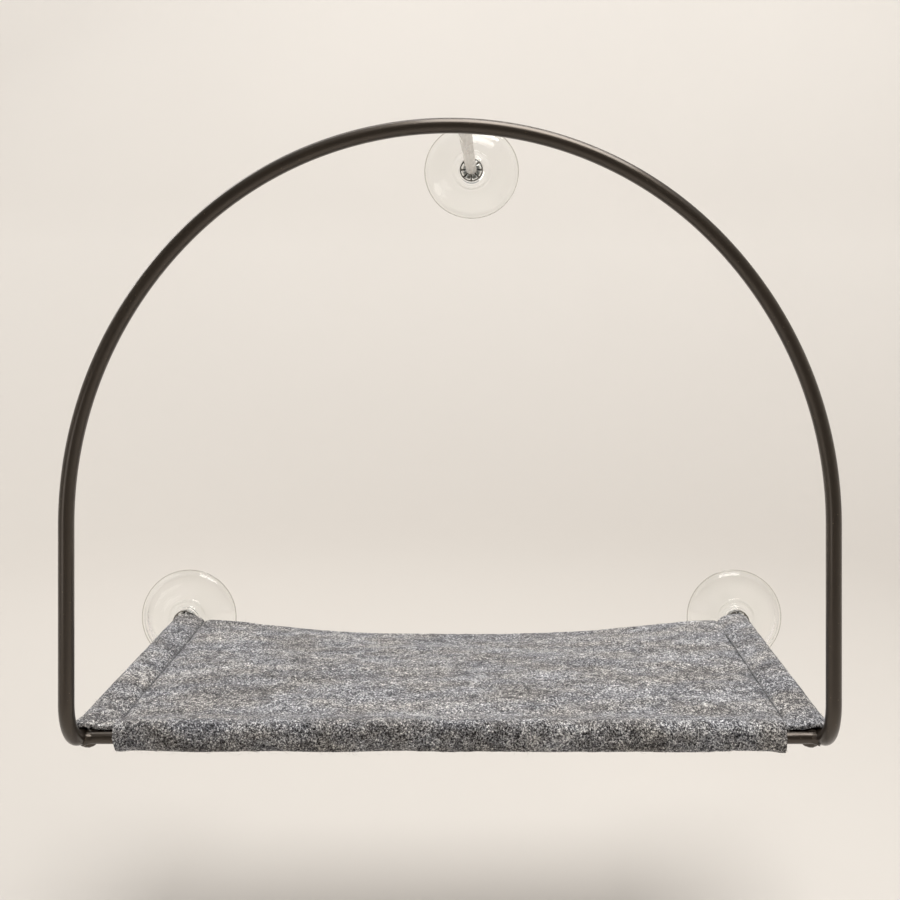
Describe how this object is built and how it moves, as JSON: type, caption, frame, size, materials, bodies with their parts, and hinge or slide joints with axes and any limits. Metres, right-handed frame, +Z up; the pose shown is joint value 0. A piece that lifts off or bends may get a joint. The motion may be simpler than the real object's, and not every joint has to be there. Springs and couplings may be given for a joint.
{
  "type": "window perch for a cat",
  "caption": "Bent wire arch with side rails, a felt sling between them and clear suction cups, held on a window pane for a cat to lie on.",
  "frame": {"origin": "on the pane that the cups hold to, midway between the axes of the two lower cups", "axes": "+Y from the room into the pane, +Z up, +X to the right as seen from the room"},
  "size_m": [0.575, 0.305, 0.4858],
  "materials": {
    "frame_steel": "dark brown-black satin powder coat",
    "felt": "needled felt, mottled mid grey",
    "thread": "grey sewing thread",
    "closing_tape": "grey hook-and-loop tape",
    "tie_plastic": "milky translucent nylon",
    "cup_pvc": "clear soft PVC",
    "nut_plastic": "clear moulded plastic",
    "stud_steel": "zinc plated"
  },
  "bodies": {
    "frame": {"frame_wire": "frame_steel", "front_bar": "frame_steel", "inner_bar": "frame_steel", "weld_beads": "frame_steel", "crown_stud": "stud_steel", "felt_sling": "felt", "left_thread": "thread", "right_thread": "thread", "loop_strip": "closing_tape", "hook_strip": "closing_tape"},
    "tie": {"tie_tube": "tie_plastic"},
    "left_suction": {"left_cup": "cup_pvc", "left_stud": "stud_steel"},
    "right_suction": {"right_cup": "cup_pvc", "right_stud": "stud_steel"},
    "top_suction": {"top_cup": "cup_pvc", "top_stud": "stud_steel"},
    "left_nut": {"left_lock_nut": "nut_plastic"},
    "right_nut": {"right_lock_nut": "nut_plastic"},
    "top_nut": {"top_lock_nut": "nut_plastic"}
  },
  "joints": [
    {"name": "tie_turn", "type": "hinge", "parent": "frame", "child": "tie", "pos_m": [0.009, -0.15, 0.40079], "axis": [0, 1, 0], "continuous": true},
    {"name": "left_cup_turn", "type": "hinge", "parent": "frame", "child": "left_suction", "pos_m": [-0.245, -0.02, 0], "axis": [0, 1, 0], "continuous": true},
    {"name": "right_cup_turn", "type": "hinge", "parent": "frame", "child": "right_suction", "pos_m": [0.245, -0.02, 0], "axis": [0, 1, 0], "continuous": true},
    {"name": "top_cup_turn", "type": "hinge", "parent": "tie", "child": "top_suction", "pos_m": [0.009, -0.02, 0.40079], "axis": [0, 1, 0], "continuous": true},
    {"name": "left_nut_turn", "type": "hinge", "parent": "left_suction", "child": "left_nut", "pos_m": [-0.245, -0.0144, 0], "axis": [0, 1, 0], "continuous": true},
    {"name": "right_nut_turn", "type": "hinge", "parent": "right_suction", "child": "right_nut", "pos_m": [0.245, -0.0144, 0], "axis": [0, 1, 0], "continuous": true},
    {"name": "top_nut_turn", "type": "hinge", "parent": "top_suction", "child": "top_nut", "pos_m": [0.009, -0.0144, 0.40079], "axis": [0, 1, 0], "continuous": true}
  ]
}
